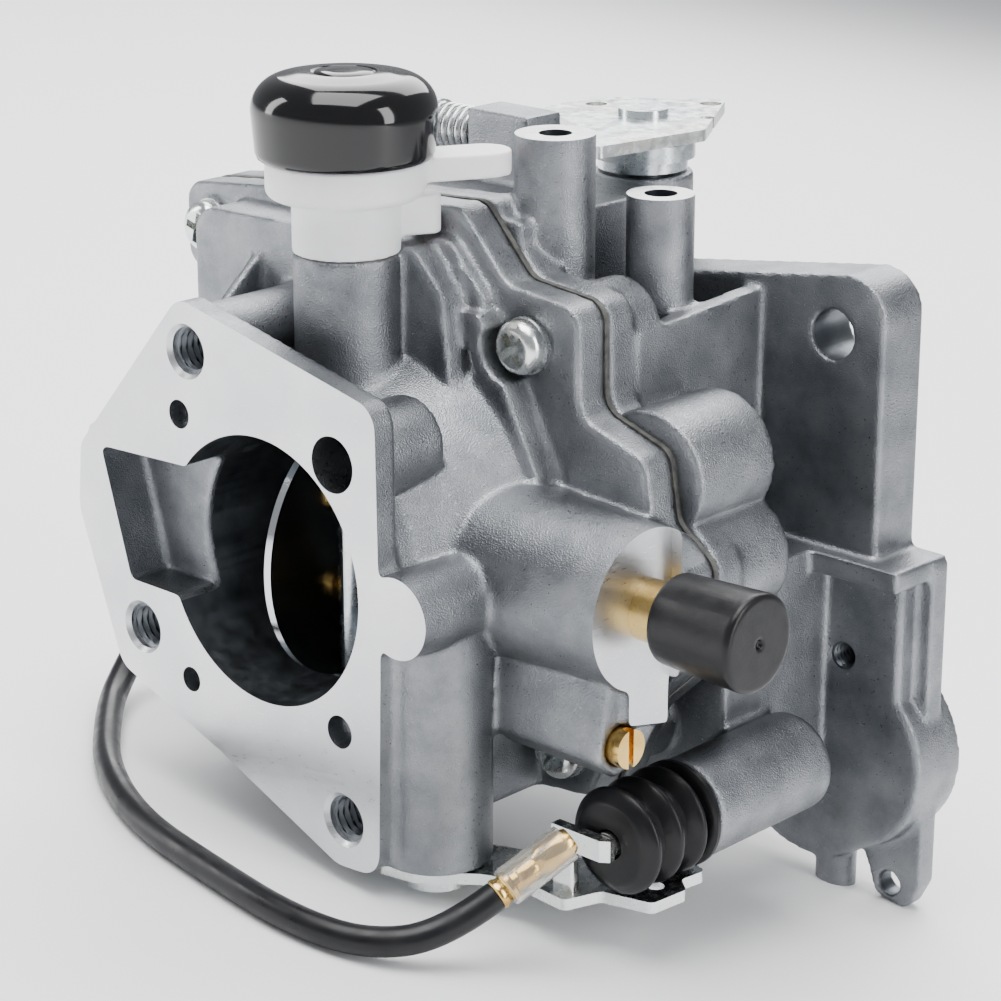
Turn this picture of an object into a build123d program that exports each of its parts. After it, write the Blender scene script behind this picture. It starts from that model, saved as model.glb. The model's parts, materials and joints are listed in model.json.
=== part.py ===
from build123d import *
import math
import os

os.makedirs("parts", exist_ok=True)

# Frame: the origin is the centre of the air inlet on its machined face.
# +Y runs inwards along the bore, +X points out of the fuel inlet, +Z is up.

# ---- driving dimensions, millimetres ----
bore_r = 17.5               # air inlet and choke bore
throttle_r = 15.0           # throttle bore
register_r = 16.0           # shallow register in the engine flange
throat_r = 13.0             # venturi throat
flange_t = 3.5              # air inlet flange
split_y = 32.0              # joint face of the air horn
gasket_t = 0.8
body_y = split_y + gasket_t
end_y = 84.0                # engine flange face
lobe_y = 71.0               # rear face of the two mounting lobes
choke_y = 15.7              # choke shaft axis
throttle_y = 72.0           # throttle shaft axis
shaft_gap = 0.04            # radial running clearance
choke_shaft_r = 2.5
throttle_shaft_r = 3.5
choke_rest = 9.0            # choke plate angle from fully open, degrees
throttle_rest = 8.0         # throttle plate angle from square across the bore, degrees
m6_minor_r = 2.5
m4_major_r = 2.0
horn_top_z = 38.5           # top of the choke boss
pillar_x = 20.6
pillar_y = 10.0
pillar_r = 7.2
pillar_foot_z = -35.4
fuel_y = 22.0
fuel_z = 0.5
fuel_face_x = 45.0
pump_x = 44.5
housing_start_y = 29.5
pump_z = -28.5

flange_taps = [(-13.1, 26.0), (-23.5, -13.5), (14.2, -29.5)]
flange_tap_depths = [13.0, 12.5, 12.0]
flange_tap_chamfer = 1.2
flange_tap_mouth_r = 3.5
body_screw_spots = [(20.1, 27.7), (-38.3, 33.6), (-28.5, -22.8), (27.0, -24.5)]
screw_seat_y = 27.6

flange_outline = [
    (-14.3, 32.8), (20.7, 25.2), (21.2, -7.0), (20.5, -35.4), (13.0, -35.9),
    (-8.1, -27.1), (-28.0, -19.9), (-35.6, 0.5), (-34.8, 9.4),
]
split_outline = [
    (-43.5, 39.0), (-20.0, 41.5), (8.5, 43.4), (16.5, 34.8), (28.6, 33.6),
    (28.9, 20.2), (39.5, 16.8), (41.0, 8.0), (46.8, 4.0), (47.2, -8.0),
    (36.0, -19.0), (31.5, -30.0), (2.0, -33.0), (-20.0, -30.0), (-34.0, -28.0),
    (-35.0, 25.0), (-43.5, 28.0),
]


def across(depth):
    """Plane across the bore at a depth, with X to the right and Z up."""
    return Plane.XZ.offset(-depth)


def rod(start, end, radius, mode=Mode.ADD):
    """Round bar or hole between two points."""
    direction = Vector(*end) - Vector(*start)
    with Locations(Plane(origin=start, z_dir=direction).location):
        Cylinder(radius, direction.length, align=(Align.CENTER, Align.CENTER, Align.MIN), mode=mode)


def taper(start, end, start_r, end_r, mode=Mode.ADD):
    """Cone between two points."""
    direction = Vector(*end) - Vector(*start)
    with Locations(Plane(origin=start, z_dir=direction).location):
        Cone(start_r, end_r, direction.length, align=(Align.CENTER, Align.CENTER, Align.MIN), mode=mode)


def block(low, high, mode=Mode.ADD):
    """Box between its lowest and highest corners."""
    size = [b - a for a, b in zip(low, high)]
    with Locations(tuple(low)):
        Box(*size, align=(Align.MIN, Align.MIN, Align.MIN), mode=mode)


def coil(start, end, radius, wire_r, turns):
    """Helical spring between two points."""
    axis = Vector(*end) - Vector(*start)
    frame = Plane(origin=start, z_dir=axis)
    path = Helix(axis.length / turns, axis.length, radius)
    wire = Plane(origin=path @ 0, z_dir=path % 0) * Circle(wire_r)
    return frame.location * sweep(wire, path=path, is_frenet=True)


def save(piece, name):
    """Label a finished piece and write its file."""
    piece.part.label = name
    export_step(piece.part, f"parts/{name}.step")


# ================= air horn: front casting with choke bore =================
bowl_roof_y = 24.0
seat_x = -4.0
seat_z = 30.0
float_pin_x = 9.0
float_pin_y = 36.5
float_pin_r = 1.0

with BuildPart() as air_horn:
    with BuildSketch(across(0)):
        with BuildLine():
            Polyline(*flange_outline, close=True)
        make_face()
        fillet(vertices(), 3.4)
        with Locations((23.8, -0.2)):
            Circle(5.2)
    extrude(amount=-flange_t)
    with BuildSketch(across(split_y - 5.0)):
        with BuildLine():
            Polyline(*split_outline, close=True)
        make_face()
        fillet(vertices(), 3.0)
    extrude(amount=-5.0)
    # chamber roof on the left, stepped down towards the screw
    with BuildSketch(across(20.0)):
        with BuildLine():
            Polyline((-34, -17), (-34, 38.3), (7, 39.2), (12, 34), (14, 18), (0, 0), (-22, -22), close=True)
        make_face()
        fillet(vertices(), 4.0)
    extrude(amount=-8.0)
    with BuildSketch(across(24.5)):
        with BuildLine():
            Polyline((0, 39.8), (9.0, 39.6), (15.0, 33.0), (13.0, 15.0), (0, 10), close=True)
        make_face()
        fillet(vertices(), 3.0)
    extrude(amount=-4.0)
    # wall around the air pocket
    with BuildSketch(across(0)):
        with BuildLine():
            Polyline((-33, 12.5), (-12, 13.5), (-14, -10), (-27.5, -10), close=True)
        make_face()
    extrude(amount=-22.0)
    # barrel, flaring into the body
    rod((0, 0, 0), (0, split_y, 0), 21.0)
    taper((0, 7, 0), (0, 28, 0), 21.0, 29.0)
    # choke bosses, pillar, bolt bosses
    rod((0, choke_y, 0), (0, choke_y, horn_top_z), 6.75)
    rod((0, choke_y, -27.5), (0, choke_y, 0), 5.5)
    rod((pillar_x, pillar_y, pillar_foot_z), (pillar_x, pillar_y, -4.0), pillar_r)
    rod((23.8, 0, -0.2), (23.8, 12, -0.2), 5.2)
    block((18.5, 10, -31), (22.5, 29, -10))
    for x, z in flange_taps[:2]:
        rod((x, 0, z), (x, 24, z), 5.3)
    lower_x, lower_z = flange_taps[2]
    rod((lower_x, 0, lower_z), (lower_x, 14, lower_z), 5.3)
    block((11.5, 5, -31), (15.5, 28, -20))
    # small triangular rib on the chamber roof
    with BuildSketch(Plane.YZ.offset(-22.0)):
        with BuildLine():
            Polyline((8.0, 24.0), (21.0, 24.0), (21.0, 35.0), close=True)
        make_face()
    extrude(amount=1.6)
    # fuel inlet boss with its tongue and the mixture screw boss
    taper((20, fuel_y, fuel_z), (fuel_face_x, fuel_y, fuel_z), 11.5, 10.2)
    with BuildSketch(Plane.YZ.offset(26.0)):
        with BuildLine():
            Polyline((18.3, 0), (25.8, 0), (25.8, -15.2), (22.3, -19.6), (17.4, -20.6), (13.9, -17.5),
                     (15.2, -9), close=True)
        make_face()
        fillet(vertices(), 1.2)
    extrude(amount=18.0)
    with BuildSketch(Plane.YZ.offset(44.0)):
        with BuildLine():
            Polyline((18.6, 0), (25.8, 0), (25.8, -15.2), (18.6, -13.6), close=True)
        make_face()
    extrude(amount=1.0)
    # ribs between the bosses and the screw
    with BuildSketch(across(23.0)):
        with BuildLine():
            Polyline((12, 31.5), (15.5, 31.5), (25.5, 12), (20, 10), close=True)
        make_face()
    extrude(amount=-6.0)
    for x, z in body_screw_spots:
        rod((x, screw_seat_y - 0.6, z), (x, split_y, z), 5.3)
    rod((13.3, 0, 16.9), (13.3, 13.5, 16.9), 6.0)
    # machined faces and hollows
    block((-60, split_y, -60), (60, split_y + 10, 60), Mode.SUBTRACT)
    rod((0, choke_y, horn_top_z), (0, choke_y, horn_top_z + 10), 7.2, Mode.SUBTRACT)
    rod((0, -1, 0), (0, split_y + 1, 0), bore_r, Mode.SUBTRACT)
    with BuildSketch(across(0)):
        with BuildLine():
            Polyline((-30.6, 10.0), (-13.5, 10.8), (-14.5, -7.2), (-25.4, -7.2), close=True)
        make_face()
        fillet(vertices(), 0.8)
    extrude(amount=-6.5, mode=Mode.SUBTRACT)
    rod((13.3, -1, 16.9), (13.3, 11.0, 16.9), 3.6, Mode.SUBTRACT)
    rod((14.6, 10, 17.6), (14.6, split_y + 1, 17.6), 1.3, Mode.SUBTRACT)
    rod((-14.7, -1, 17.5), (-14.7, 18, 17.5), 1.95, Mode.SUBTRACT)
    rod((-14.0, -1, -18.3), (-14.0, 18, -18.3), 1.75, Mode.SUBTRACT)
    rod((13.8, -1, -17.7), (13.8, 3.0, -17.7), 2.2, Mode.SUBTRACT)
    for (x, z), depth in zip(flange_taps, flange_tap_depths):
        rod((x, -1, z), (x, depth, z), m6_minor_r, Mode.SUBTRACT)
        taper((x, -0.001, z), (x, flange_tap_chamfer, z), flange_tap_mouth_r, m6_minor_r, Mode.SUBTRACT)
    rod((0, choke_y, -30), (0, choke_y, horn_top_z + 1), choke_shaft_r + shaft_gap, Mode.SUBTRACT)
    block((-30.5, bowl_roof_y, 22.3), (7.5, split_y + 1, 36.5), Mode.SUBTRACT)
    rod((seat_x, 21.0, seat_z), (seat_x, split_y, seat_z), 3.0, Mode.SUBTRACT)
    rod((fuel_face_x + 1, fuel_y, fuel_z), (30.0, fuel_y, fuel_z), 3.4, Mode.SUBTRACT)
    rod((32.5, fuel_y, fuel_z), (32.5, split_y + 1, fuel_z), 2.0, Mode.SUBTRACT)
    rod((46, 18.4, -16.4), (30, 18.4, -16.4), 2.55, Mode.SUBTRACT)
    rod((pillar_x, pillar_y, pillar_foot_z - 1), (pillar_x, pillar_y, -24), 2.1, Mode.SUBTRACT)
    for x, z in body_screw_spots:
        rod((x, screw_seat_y - 6, z), (x, screw_seat_y, z), 4.3, Mode.SUBTRACT)
        rod((x, screw_seat_y - 1, z), (x, split_y + 1, z), 2.2, Mode.SUBTRACT)
    # pin posts that hold the float under the roof
    for low_z, high_z in ((22.3, 24.3), (34.5, 36.5)):
        block((7.0, bowl_roof_y, low_z), (11.5, float_pin_y + 2.2, high_z))
        rod((float_pin_x, float_pin_y, low_z - 1), (float_pin_x, float_pin_y, high_z + 1), float_pin_r,
            Mode.SUBTRACT)
save(air_horn, "air_horn")

# ================= gasket between the castings =================
with BuildPart() as body_gasket:
    with BuildSketch(across(split_y)):
        with BuildLine():
            Polyline(*split_outline, close=True)
        make_face()
        fillet(vertices(), 3.0)
        Circle(bore_r + 0.3, mode=Mode.SUBTRACT)
        with Locations((-9.5, 30.0)):
            Rectangle(44.0, 16.2, mode=Mode.SUBTRACT)
        for x, z in body_screw_spots:
            with Locations((x, z)):
                Circle(2.3, mode=Mode.SUBTRACT)
        with Locations((32.5, fuel_z)):
            Circle(2.2, mode=Mode.SUBTRACT)
    extrude(amount=-gasket_t)
save(body_gasket, "body_gasket")

# ================= main body: rear casting =================
duct_x = 40.0
duct_low_z = -39.0
ledge_z = -2.8
boss_a = (12.0, 41.0, 51.2)
boss_b = (22.0, 50.0, 43.5)
port_x = 42.5
port_z = -32.0
port_r = 9.0
lobe_hole_a = (40.4, 25.8)
lobe_hole_b = (49.4, -50.2)
engine_bolt_x = 27.0
foot_x = -25.0
foot_y = 56.0
foot_z = -43.8
idle_y = 51.5
idle_z = 46.5
solenoid_y = 50.0
solenoid_z = -17.0

with BuildPart() as main_body:
    with BuildSketch(across(body_y)):
        with BuildLine():
            Polyline(*split_outline, close=True)
        make_face()
        fillet(vertices(), 3.0)
    extrude(amount=-4.7)
    rod((0, body_y, 0), (0, 62, 0), 21.5)
    rod((0, 62, 0), (0, end_y, 0), 19.5)
    # float chamber
    block((-34, body_y, 18.0), (13.5, 62, 41.0))
    # lower left housing and its foot
    block((-33, body_y, -28.0), (-4, 58, 2.0))
    rod((foot_x, foot_y, foot_z), (foot_x, foot_y, -10), 6.0)
    # rounded ears behind the joint face
    rod((35.3, body_y, 12.6), (35.3, 47.5, 12.6), 8.4)
    rod((38.8, body_y, 0.6), (38.8, 47.5, 0.6), 7.8)
    rod((22.3, body_y, 27.9), (22.3, 43.0, 27.9), 6.3)
    block((0, body_y, -8.0), (38.8, 46.0, 18.0))
    # upright tapped bosses
    rod((boss_a[0], boss_a[1], 14), boss_a, 5.2)
    rod((boss_b[0], boss_b[1], 0), boss_b, 4.4)
    block((8.0, 40.0, 0.0), (24.0, 64.0, 20.0))
    # upper mounting lobe and its gusset
    with BuildSketch(across(62.5)):
        with BuildLine():
            Polyline((0, -4.0), (0, 28.0), (19.2, 30.7), (42.9, 34.1), (48.6, 33.0), (48.6, -4.0), close=True)
        make_face()
        fillet(vertices().group_by(Axis.X)[-1].sort_by(Axis.Z)[-1:], 5.5)
    extrude(amount=-(lobe_y - 62.5))
    with BuildSketch(Plane.YZ.offset(26.2)):
        with BuildLine():
            Polyline((38, -4), (38, 28.5), (63, 30.2), (63, -4), close=True)
        make_face()
    extrude(amount=2.8)
    # ledge, duct and lower mounting lobe
    block((20.0, 43.0, duct_low_z), (duct_x, lobe_y, ledge_z))
    block((20.0, 60.0, ledge_z - 3.0), (54.0, lobe_y, ledge_z))
    block((38.0, 42.5, ledge_z - 2.2), (43.6, 48.5, ledge_z))
    with BuildSketch(across(64.0)):
        with BuildLine():
            left_side = Line((24.0, ledge_z), (24.0, -34.0))
            ThreePointArc(left_side @ 1, (38.0, -48.0), (52.0, -34.0))
            Line((52.0, -34.0), (52.0, ledge_z))
            Line((52.0, ledge_z), left_side @ 0)
        make_face()
    extrude(amount=-(lobe_y - 64.0))
    with BuildSketch(across(67.6)):
        with BuildLine():
            Polyline((30, ledge_z), (54.4, ledge_z), (54.4, -49.0), (52.3, -53.2), (47.2, -52.4),
                     (45.4, -47.6),
                     (44.0, -44.0), (30, -44.0), close=True)
        make_face()
        fillet(vertices().group_by(Axis.Z)[0], 1.5)
    extrude(amount=-(lobe_y - 67.6))
    rod((41.0, 67.0, -53.0), (41.0, 67.0, -44.0), 2.8)
    rod((port_x, 64, port_z), (port_x, lobe_y + 2.5, port_z), 13.5)
    # pump housing on the duct wall
    rod((pump_x, housing_start_y, pump_z), (pump_x, 52.0, pump_z), 6.6)
    # throttle shaft bosses and the idle screw lug
    rod((0, throttle_y, -28.0), (0, throttle_y, 40.0), 7.0)
    block((-10.5, 48.0, 40.0), (0.5, 55.0, 50.5))
    # engine flange
    with BuildSketch(across(78.0)):
        with Locations((0, 0)):
            Circle(22.0)
        with Locations((-engine_bolt_x, 0), (engine_bolt_x, 0)):
            Circle(8.0)
        make_hull()
    extrude(amount=-(end_y - 78.0))
    # solenoid boss
    rod((-20, solenoid_y, solenoid_z), (-36.5, solenoid_y, solenoid_z), 8.5)
    for x, z in body_screw_spots:
        rod((x, body_y, z), (x, body_y + 11, z), 5.3)
    # machined hollows
    with BuildSketch(Plane.XY) as bore_profile:
        with BuildLine():
            Polyline((0, body_y - 1), (bore_r, body_y - 1), (bore_r, body_y + 2), (throat_r, 44),
                     (throat_r, 50),
                     (throttle_r, 60), (throttle_r, end_y - 6), (register_r, end_y - 6), (register_r,
                                                                                          end_y + 1),
                     (0, end_y + 1), close=True)
        make_face()
    revolve(axis=Axis.Y, mode=Mode.SUBTRACT)
    block((-31.0, body_y - 1, 22.0), (12.2, 58.0, 38.0), Mode.SUBTRACT)
    rod((-24.0, 57.0, seat_z), (-24.0, 60.0, seat_z), 2.1, Mode.SUBTRACT)
    rod((-23.0, 47.0, 0), (-11.0, 47.0, 0), 2.0, Mode.SUBTRACT)
    rod((-12.0, 57.0, seat_z), (-12.0, 60.0, seat_z), 2.6, Mode.SUBTRACT)
    for x, z in body_screw_spots:
        rod((x, body_y - 1, z), (x, body_y + 9, z), m4_major_r, Mode.SUBTRACT)
    rod((32.5, body_y - 1, fuel_z), (32.5, 41, fuel_z), 2.0, Mode.SUBTRACT)
    rod((boss_a[0], boss_a[1], 40.5), (boss_a[0], boss_a[1], 52), 2.1, Mode.SUBTRACT)
    rod((boss_b[0], boss_b[1], 32.0), (boss_b[0], boss_b[1], 44), 2.1, Mode.SUBTRACT)
    for (x, z), radius, start_y in ((lobe_hole_a, 3.3, 60), (lobe_hole_b, 1.7, 66)):
        rod((x, start_y, z), (x, 72, z), radius, Mode.SUBTRACT)
    rod((43.0, 63, -17.9), (43.0, 69, -17.9), 1.6, Mode.SUBTRACT)
    rod((port_x, 66.5, port_z), (port_x, 75, port_z), port_r, Mode.SUBTRACT)
    block((33.0, 40.0, -37.0), (duct_x + 0.2, 43.0 + 4.2, -35.6), Mode.SUBTRACT)
    rod((pump_x, housing_start_y - 1, pump_z), (pump_x, 41, pump_z), 3.8, Mode.SUBTRACT)
    for x in (-engine_bolt_x, engine_bolt_x):
        rod((x, 77, 0), (x, 85, 0), 3.3, Mode.SUBTRACT)
    rod((0, throttle_y, -29), (0, throttle_y, 41), throttle_shaft_r + shaft_gap, Mode.SUBTRACT)
    rod((-12, idle_y, idle_z), (2, idle_y, idle_z), 2.05, Mode.SUBTRACT)
    rod((-37, solenoid_y, solenoid_z), (-22, solenoid_y, solenoid_z), 3.2, Mode.SUBTRACT)
save(main_body, "main_body")

# ================= choke =================
choke_leaf_r = bore_r - 0.2
choke_leaf_t = 1.0
choke_lever_z = 45.4
choke_cap_z = 50.2
choke_top_z = 61.0
tab_angle = 62.0
choke_axis = Axis((0, choke_y, 0), (0, 0, 1))


def rod_through_choke(start, end, radius, mode=Mode.ADD):
    """Round bar given along the choke leaf's normal, turned to the leaf's rest angle."""
    turn = math.radians(choke_rest)
    placed = []
    for across_leaf, z in (start, end):
        placed.append((across_leaf * math.cos(turn), choke_y + across_leaf * math.sin(turn), z))
    rod(placed[0], placed[1], radius, mode)


with BuildPart() as choke_shaft:
    rod((0, choke_y, -28.5), (0, choke_y, 56.0), choke_shaft_r)
    with Locations(Location((0, choke_y, 0), (0, 0, choke_rest))):
        Box(choke_leaf_t, 6.0, 2 * choke_leaf_r + 0.6, mode=Mode.SUBTRACT)
    for z in (-6, 6):
        rod_through_choke((-3, z), (3, z), 1.2, Mode.SUBTRACT)
save(choke_shaft, "choke_shaft")

with BuildPart() as choke_plate:
    rod_through_choke((-choke_leaf_t / 2, 0), (choke_leaf_t / 2, 0), choke_leaf_r)
    for z in (-6, 6):
        rod_through_choke((-3, z), (3, z), 1.2, Mode.SUBTRACT)
save(choke_plate, "choke_plate")

with BuildPart() as choke_plate_screws:
    for z in (-6, 6):
        rod_through_choke((-2.8, z), (2.6, z), 1.15)
        rod_through_choke((2.6, z), (3.9, z), 2.3)
        with Locations(Location((4.0 * math.cos(math.radians(choke_rest)),
                                 choke_y + 4.0 * math.sin(math.radians(choke_rest)), z), (0, 0, choke_rest))):
            Box(1.2, 5.0, 0.7, mode=Mode.SUBTRACT)
save(choke_plate_screws, "choke_plate_screws")

with BuildPart() as choke_spring_housing:
    rod((0, choke_y, horn_top_z), (0, choke_y, 45.1), 6.8)
    with Locations(Location((0, choke_y, 40.1), (0, 0, tab_angle))):
        Box(12.2, 4.0, 5.0, align=(Align.MIN, Align.CENTER, Align.MIN))
    fillet(edges().filter_by(Axis.Z).sort_by_distance((5.9, choke_y + 11.1, 42.4))[:2], 1.8)
    rod((0, choke_y, 38.0), (0, choke_y, 44.1), 5.6, Mode.SUBTRACT)
    rod((0, choke_y, 43.0), (0, choke_y, 46.0), choke_shaft_r + 0.3, Mode.SUBTRACT)
    rod((0, choke_y, horn_top_z), (0, choke_y, 39.3), 6.0)
    rod((0, choke_y, 38.0), (0, choke_y, 40.0), choke_shaft_r + 0.3, Mode.SUBTRACT)
save(choke_spring_housing, "choke_spring_housing")

with BuildPart() as choke_lever:
    rod((0, choke_y, choke_lever_z), (0, choke_y, choke_cap_z), 10.0)
    fillet(edges().filter_by(GeomType.CIRCLE).group_by(Axis.Z)[0], 1.2)
    with BuildSketch(Plane.XY.offset(choke_cap_z - 3.2)):
        with Locations(Location((0, choke_y, 0), (0, 0, tab_angle))):
            with Locations((9.0, 0)):
                Rectangle(18.0, 7.0)
            with Locations((18.0, 0)):
                Circle(3.5)
    extrude(amount=3.1)
    rod((0, choke_y, 40), (0, choke_y, 60), choke_shaft_r, Mode.SUBTRACT)
save(choke_lever, "choke_lever")

with BuildPart() as choke_cap:
    with BuildSketch(Plane.XZ.offset(-choke_y)):
        with BuildLine():
            skirt = Line((11.2, choke_cap_z), (11.6, choke_cap_z + 6.2))
            crown = Spline((11.6, choke_cap_z + 6.2), (10.6, choke_top_z - 1.9), (7.2, choke_top_z - 0.45),
                           (0, choke_top_z), tangents=((0.03, 1), (-1, 0)))
            Line(crown @ 1, (0, choke_cap_z))
            Line((0, choke_cap_z), skirt @ 0)
        make_face()
    revolve(axis=choke_axis)
    rod((0, choke_y, 50.0), (0, choke_y, 56.1), choke_shaft_r, Mode.SUBTRACT)
save(choke_cap, "choke_cap")

choke_spring = coil((0, choke_y, 39.9), (0, choke_y, 43.6), 4.4, 0.4, 3.5)
choke_spring.label = "choke_spring"
export_step(choke_spring, "parts/choke_spring.step")

# ================= throttle =================
throttle_leaf_r = throttle_r - 0.15
throttle_leaf_t = 1.5
throttle_plate_z = 46.0
lever_t = 1.6
throttle_outline = [
    (-13.0, 66.0), (-13.6, 76.5), (1.5, 88.0), (13.0, 69.5), (10.2, 51.0), (2.3, 49.2), (2.3, 58.0),
]


def rod_through_throttle(start, end, radius, mode=Mode.ADD):
    """Round bar given along the throttle leaf's normal, turned to the leaf's rest angle."""
    turn = math.radians(90 + throttle_rest)
    placed = []
    for across_leaf, z in (start, end):
        placed.append((across_leaf * math.cos(turn), throttle_y + across_leaf * math.sin(turn), z))
    rod(placed[0], placed[1], radius, mode)


with BuildPart() as throttle_shaft:
    rod((0, throttle_y, -29.5), (0, throttle_y, throttle_plate_z + lever_t + 1.0), throttle_shaft_r)
    with Locations(Location((0, throttle_y, 0), (0, 0, throttle_rest))):
        Box(9.0, throttle_leaf_t, 2 * throttle_leaf_r + 0.4, mode=Mode.SUBTRACT)
    for z in (-6, 6):
        rod_through_throttle((-5, z), (5, z), 1.5, Mode.SUBTRACT)
save(throttle_shaft, "throttle_shaft")

with BuildPart() as throttle_plate:
    rod_through_throttle((-throttle_leaf_t / 2, 0), (throttle_leaf_t / 2, 0), throttle_leaf_r)
    for z in (-6, 6):
        rod_through_throttle((-5, z), (5, z), 1.5, Mode.SUBTRACT)
save(throttle_plate, "throttle_plate")

with BuildPart() as throttle_plate_screws:
    for z in (-6, 6):
        rod_through_throttle((-3.8, z), (3.6, z), 1.45)
        rod_through_throttle((3.6, z), (5.2, z), 2.6)
save(throttle_plate_screws, "throttle_plate_screws")

with BuildPart() as throttle_lever:
    with BuildSketch(Plane.XY.offset(throttle_plate_z)):
        with BuildLine():
            Polyline(*throttle_outline, close=True)
        make_face()
        fillet(vertices(), 1.6)
        with Locations((0, throttle_y)):
            Circle(throttle_shaft_r, mode=Mode.SUBTRACT)
        with Locations((-9.5, 73.0), (2.0, 84.0)):
            Circle(1.5, mode=Mode.SUBTRACT)
        with Locations((8.0, 76.0), (6.0, 54.0)):
            Circle(1.0, mode=Mode.SUBTRACT)
    extrude(amount=lever_t)
    block((2.3, 49.8, 43.6), (3.8, 53.2, throttle_plate_z + 0.5))
save(throttle_lever, "throttle_lever")

with BuildPart() as throttle_collar:
    rod((0, throttle_y, 40.4), (0, throttle_y, throttle_plate_z), 6.2)
    rod((0, throttle_y, 42.0), (0, throttle_y, 44.2), 7.2)
    rod((0, throttle_y, 40), (0, throttle_y, 47), throttle_shaft_r, Mode.SUBTRACT)
save(throttle_collar, "throttle_collar")

throttle_clip_z = -29.2
with BuildPart() as throttle_clip:
    rod((0, throttle_y, throttle_clip_z), (0, throttle_y, throttle_clip_z + 0.8), 6.0)
    rod((0, throttle_y, -31), (0, throttle_y, -27), throttle_shaft_r, Mode.SUBTRACT)
    block((-1.5, throttle_y - 7, -31), (1.5, throttle_y, -27), Mode.SUBTRACT)
save(throttle_clip, "throttle_clip")

# ================= idle speed and idle mixture screws =================
with BuildPart() as idle_speed_screw:
    rod((-18.5, idle_y, idle_z), (1.9, idle_y, idle_z), 1.98)
    rod((-21.0, idle_y, idle_z), (-18.5, idle_y, idle_z), 3.6)
    block((-22.0, idle_y - 0.5, idle_z - 4), (-20.0, idle_y + 0.5, idle_z + 4), Mode.SUBTRACT)
save(idle_speed_screw, "idle_speed_screw")

idle_speed_spring = coil((-17.9, idle_y, idle_z), (-11.1, idle_y, idle_z), 2.9, 0.5, 5.5)
idle_speed_spring.label = "idle_speed_spring"
export_step(idle_speed_spring, "parts/idle_speed_spring.step")

mixture_y = 18.4
mixture_z = -16.4
with BuildPart() as idle_mixture_screw:
    rod((40.5, mixture_y, mixture_z), (45.6, mixture_y, mixture_z), 2.5)
    rod((31.0, mixture_y, mixture_z), (40.5, mixture_y, mixture_z), 1.2)
    block((44.5, mixture_y - 0.45, mixture_z - 3), (46.0, mixture_y + 0.45, mixture_z + 3), Mode.SUBTRACT)
save(idle_mixture_screw, "idle_mixture_screw")

idle_mixture_spring = coil((33.0, mixture_y, mixture_z), (39.8, mixture_y, mixture_z), 1.85, 0.25, 6)
idle_mixture_spring.label = "idle_mixture_spring"
export_step(idle_mixture_spring, "parts/idle_mixture_spring.step")

# ================= fuel inlet, needle and float =================
fuel_tube_r = 3.875
with BuildPart() as fuel_inlet_tube:
    rod((38.0, fuel_y, fuel_z), (fuel_face_x, fuel_y, fuel_z), 3.4)
    rod((fuel_face_x, fuel_y, fuel_z), (57.0, fuel_y, fuel_z), fuel_tube_r)
    fillet(edges().filter_by(GeomType.CIRCLE).group_by(Axis.X)[-1], 0.8)
    rod((37.0, fuel_y, fuel_z), (58.0, fuel_y, fuel_z), 2.4, Mode.SUBTRACT)
save(fuel_inlet_tube, "fuel_inlet_tube")

cap_start_x = 49.2
cap_end_x = 62.0
with BuildPart() as fuel_inlet_cap:
    taper((cap_start_x, fuel_y, fuel_z), (cap_end_x, fuel_y, fuel_z), 5.7, 6.2)
    fillet(edges().filter_by(GeomType.CIRCLE).group_by(Axis.X)[-1], 0.7)
    fillet(edges().filter_by(GeomType.CIRCLE).group_by(Axis.X)[0], 0.5)
    rod((cap_start_x - 1, fuel_y, fuel_z), (58.0, fuel_y, fuel_z), fuel_tube_r + 0.05, Mode.SUBTRACT)
    rod((cap_end_x - 0.6, fuel_y, fuel_z), (cap_end_x + 1, fuel_y, fuel_z), 0.6, Mode.SUBTRACT)
save(fuel_inlet_cap, "fuel_inlet_cap")

with BuildPart() as needle_seat:
    rod((seat_x, 21.2, seat_z), (seat_x, 27.0, seat_z), 3.0)
    rod((seat_x, 24.6, seat_z), (seat_x, 26.6, seat_z), 4.2)
    rod((seat_x, 21.0, seat_z), (seat_x, 24.0, seat_z), 0.9, Mode.SUBTRACT)
    rod((seat_x, 24.0, seat_z), (seat_x, 28.0, seat_z), 1.35, Mode.SUBTRACT)
save(needle_seat, "needle_seat")

with BuildPart() as inlet_needle:
    taper((seat_x, 24.2, seat_z), (seat_x, 25.4, seat_z), 0.5, 1.3)
    rod((seat_x, 25.4, seat_z), (seat_x, 32.8, seat_z), 1.3)
save(inlet_needle, "inlet_needle")

with BuildPart() as float_assembly:
    block((-27.5, 40.0, 24.0), (3.0, 52.0, 36.0))
    fillet(edges().filter_by(Axis.Z), 2.0)
    block((-8.0, 34.0, 26.5), (-0.5, 40.5, 33.0))
    block((-8.0, 33.4, 26.5), (8.0, 34.8, 33.0))
    rod((float_pin_x, float_pin_y, 24.8), (float_pin_x, float_pin_y, 34.0), 2.2)
    block((5.5, 33.4, 26.5), (9.0, 36.5, 33.0))
    rod((float_pin_x, float_pin_y, 24), (float_pin_x, float_pin_y, 35), float_pin_r + 0.05, Mode.SUBTRACT)
save(float_assembly, "float")

with BuildPart() as float_pin:
    rod((float_pin_x, float_pin_y, 22.4), (float_pin_x, float_pin_y, 36.4), float_pin_r)
save(float_pin, "float_pin")

# ================= jets =================
with BuildPart() as main_jet:
    rod((-12.0, 56.6, seat_z), (-12.0, 60.0, seat_z), 2.6)
    rod((-12.0, 56.0, seat_z), (-12.0, 61.0, seat_z), 0.6, Mode.SUBTRACT)
    block((-12.4, 56.0, seat_z - 3), (-11.6, 57.2, seat_z + 3), Mode.SUBTRACT)
save(main_jet, "main_jet")

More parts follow.
